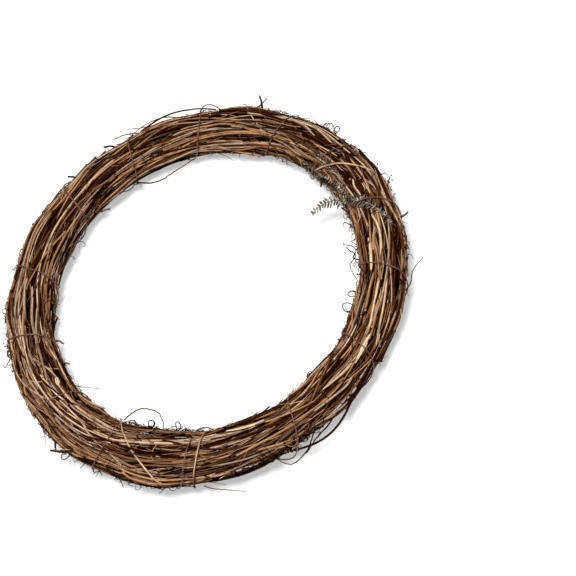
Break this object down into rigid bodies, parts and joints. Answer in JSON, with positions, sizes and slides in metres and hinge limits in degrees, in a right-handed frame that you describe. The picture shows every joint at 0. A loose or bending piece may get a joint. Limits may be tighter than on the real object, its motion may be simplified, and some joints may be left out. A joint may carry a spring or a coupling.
{
  "type": "grapevine wreath",
  "caption": "Round wreath of dried grapevines twisted into a loose bundle, bound with a thin brown wire, with curly tendrils and a dried sprig under the wire.",
  "frame": {"origin": "the middle of the wreath's ring, at the level of the surface it lies on", "axes": "+Z is the ring's axis, pointing up from the surface; the wreath lies flat in X and Y, and -Y is towards the picture's camera"},
  "size_m": [0.3034, 0.3077, 0.0388],
  "materials": {
    "brown_vine": "dry orange-brown bark",
    "dark_vine": "dry dark brown bark",
    "tan_vine": "dry pale tan bark",
    "grey_vine": "weathered grey-brown bark",
    "wire": "dull brown coated wire",
    "dried_sprig": "dry grey-green leaf"
  },
  "bodies": {
    "root": {"binding_wire": "wire", "crossing_shoot": "tan_vine", "dried_sprig": "dried_sprig", "vine_01": "brown_vine", "vine_02": "dark_vine", "vine_03": "tan_vine", "vine_04": "grey_vine", "vine_05": "brown_vine", "vine_06": "dark_vine", "vine_07": "tan_vine", "vine_08": "grey_vine", "vine_09": "brown_vine", "vine_10": "dark_vine", "vine_11": "tan_vine", "vine_12": "grey_vine", "vine_13": "brown_vine", "vine_14": "dark_vine", "vine_15": "tan_vine", "vine_16": "grey_vine", "vine_17": "brown_vine", "vine_18": "dark_vine", "vine_19": "tan_vine", "vine_20": "grey_vine", "vine_21": "brown_vine", "vine_22": "dark_vine", "vine_23": "tan_vine", "vine_24": "grey_vine", "vine_25": "brown_vine", "vine_26": "dark_vine", "vine_27": "tan_vine", "vine_28": "grey_vine", "vine_29": "brown_vine", "vine_30": "dark_vine", "vine_31": "tan_vine", "vine_32": "grey_vine", "vine_33": "brown_vine", "vine_34": "dark_vine", "vine_35": "tan_vine", "vine_36": "grey_vine", "vine_37": "brown_vine", "vine_38": "dark_vine", "vine_39": "tan_vine", "vine_40": "grey_vine", "vine_41": "brown_vine", "vine_42": "dark_vine", "vine_43": "tan_vine", "vine_44": "grey_vine", "vine_45": "brown_vine", "vine_46": "dark_vine", "vine_47": "tan_vine", "vine_48": "grey_vine", "vine_49": "brown_vine", "vine_50": "dark_vine", "wrapped_shoot_1": "tan_vine", "wrapped_shoot_2": "tan_vine"}
  },
  "joints": []
}
